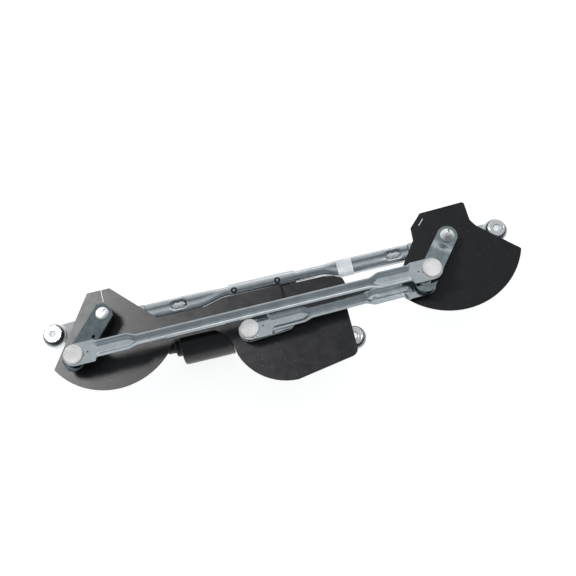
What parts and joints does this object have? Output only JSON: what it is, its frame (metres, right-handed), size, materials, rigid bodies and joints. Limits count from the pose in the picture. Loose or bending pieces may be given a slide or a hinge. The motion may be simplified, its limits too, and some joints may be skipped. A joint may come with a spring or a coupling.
{
  "type": "windshield wiper linkage",
  "caption": "Windshield wiper linkage: tube frame with two wiper pivots, cranks and pressed link rods driven by a worm gear motor, with plastic shields.",
  "frame": {"origin": "bottom centre of the object's box, where the spindle tips and the motor's cover stand", "axes": "+X along the frame tube from the left pivot to the right one, +Z along the spindles towards the cranks, +Y to the tube's back"},
  "size_m": [0.6958, 0.1998, 0.1217],
  "materials": {
    "zinc_plated": "zinc plated steel, light blue-grey with bright bends",
    "bright_steel": "bright turned steel",
    "cast_aluminium": "die cast, fine matt grain",
    "black_plastic": "moulded black plastic",
    "shield_plastic": "dark grey plastic sheet, matt, finely grained",
    "white_plastic": "off-white moulded plastic",
    "rubber": "black moulded rubber",
    "black_paint": "black painted deep-drawn steel",
    "bearing_bronze": "sintered bronze",
    "copper": "copper",
    "carbon": "pressed carbon",
    "ferrite": "ferrite magnet",
    "label_paper": "blank white film label"
  },
  "bodies": {
    "frame": {"frame_tube": "zinc_plated", "identification_label": "label_paper", "motor_bracket": "zinc_plated", "left_pivot_housing": "cast_aluminium", "right_pivot_housing": "cast_aluminium", "mount_grommet_left": "rubber", "mount_grommet_right": "rubber", "mount_grommet_lower": "rubber", "mount_sleeve_left": "zinc_plated", "mount_sleeve_right": "zinc_plated", "mount_sleeve_lower": "zinc_plated", "left_upper_bush": "bearing_bronze", "left_lower_bush": "bearing_bronze", "right_upper_bush": "bearing_bronze", "right_lower_bush": "bearing_bronze", "left_shaft_seal": "rubber", "right_shaft_seal": "rubber", "left_shield": "shield_plastic", "middle_shield": "shield_plastic", "right_shield": "shield_plastic", "motor_can": "black_paint", "motor_end_cap": "black_plastic", "gear_housing": "cast_aluminium", "gear_cover": "black_plastic", "armature_bearing_front": "bearing_bronze", "armature_bearing_rear": "bearing_bronze", "field_magnet_upper": "ferrite", "field_magnet_lower": "ferrite", "brush_holder": "black_plastic", "brush_back": "carbon", "brush_front": "carbon", "output_bush": "bearing_bronze", "motor_bolt_1": "bright_steel", "motor_bolt_2": "bright_steel", "motor_bolt_3": "bright_steel"},
    "motor_crank": {"motor_crank": "zinc_plated", "motor_ball_stud": "bright_steel", "output_shaft": "bright_steel", "worm_wheel": "white_plastic", "crank_nut": "bright_steel"},
    "right_crank": {"right_crank": "zinc_plated", "right_spindle": "bright_steel", "right_upper_ball_stud": "bright_steel", "right_lower_stud_head": "bright_steel", "right_retaining_ring": "bright_steel"},
    "left_crank": {"left_crank": "zinc_plated", "left_spindle": "bright_steel", "left_ball_stud": "bright_steel", "left_retaining_ring": "bright_steel"},
    "drive_rod": {"drive_link_rod": "zinc_plated", "motor_ball_socket": "white_plastic", "right_lower_ball_socket": "white_plastic", "right_lower_ball_stud": "bright_steel"},
    "long_rod": {"long_link_rod": "zinc_plated", "left_ball_socket": "white_plastic", "right_upper_ball_socket": "white_plastic"},
    "armature": {"armature_shaft": "bright_steel", "armature_core": "copper", "commutator": "copper"}
  },
  "joints": [
    {"name": "motor_crank_turn", "type": "hinge", "parent": "frame", "child": "motor_crank", "pos_m": [-0.0042, -0.0173, 0.09], "axis": [0, 0, 1], "range_deg": [0, 179.66]},
    {"name": "right_spindle_turn", "type": "hinge", "parent": "frame", "child": "right_crank", "pos_m": [0.2484, 0.0503, 0.095], "axis": [0, 0, 1], "range_deg": [0, 79.28]},
    {"name": "left_spindle_turn", "type": "hinge", "parent": "frame", "child": "left_crank", "pos_m": [-0.2516, 0.0503, 0.104], "axis": [0, 0, 1], "range_deg": [0, 69.91]},
    {"name": "drive_rod_pivot", "type": "hinge", "parent": "motor_crank", "child": "drive_rod", "pos_m": [-0.05483, -0.01877, 0.0997], "axis": [0, 0, 1], "range_deg": [-180, 0]},
    {"name": "long_rod_pivot", "type": "hinge", "parent": "right_crank", "child": "long_rod", "pos_m": [0.2097, 0.00251, 0.1137], "axis": [0, 0, 1], "range_deg": [-78.24, 0]},
    {"name": "armature_turn", "type": "hinge", "parent": "frame", "child": "armature", "pos_m": [-0.1276, 0.0003, 0.03], "axis": [1, 0, 0], "range_deg": [-3054.29, 0]}
  ],
  "couplings": [
    {"joint": "right_spindle_turn", "follows": "motor_crank_turn", "ratio": 0.44129},
    {"joint": "left_spindle_turn", "follows": "motor_crank_turn", "ratio": 0.38914},
    {"joint": "drive_rod_pivot", "follows": "motor_crank_turn", "ratio": -1.0019},
    {"joint": "long_rod_pivot", "follows": "motor_crank_turn", "ratio": -0.4355},
    {"joint": "armature_turn", "follows": "motor_crank_turn", "ratio": -17}
  ]
}
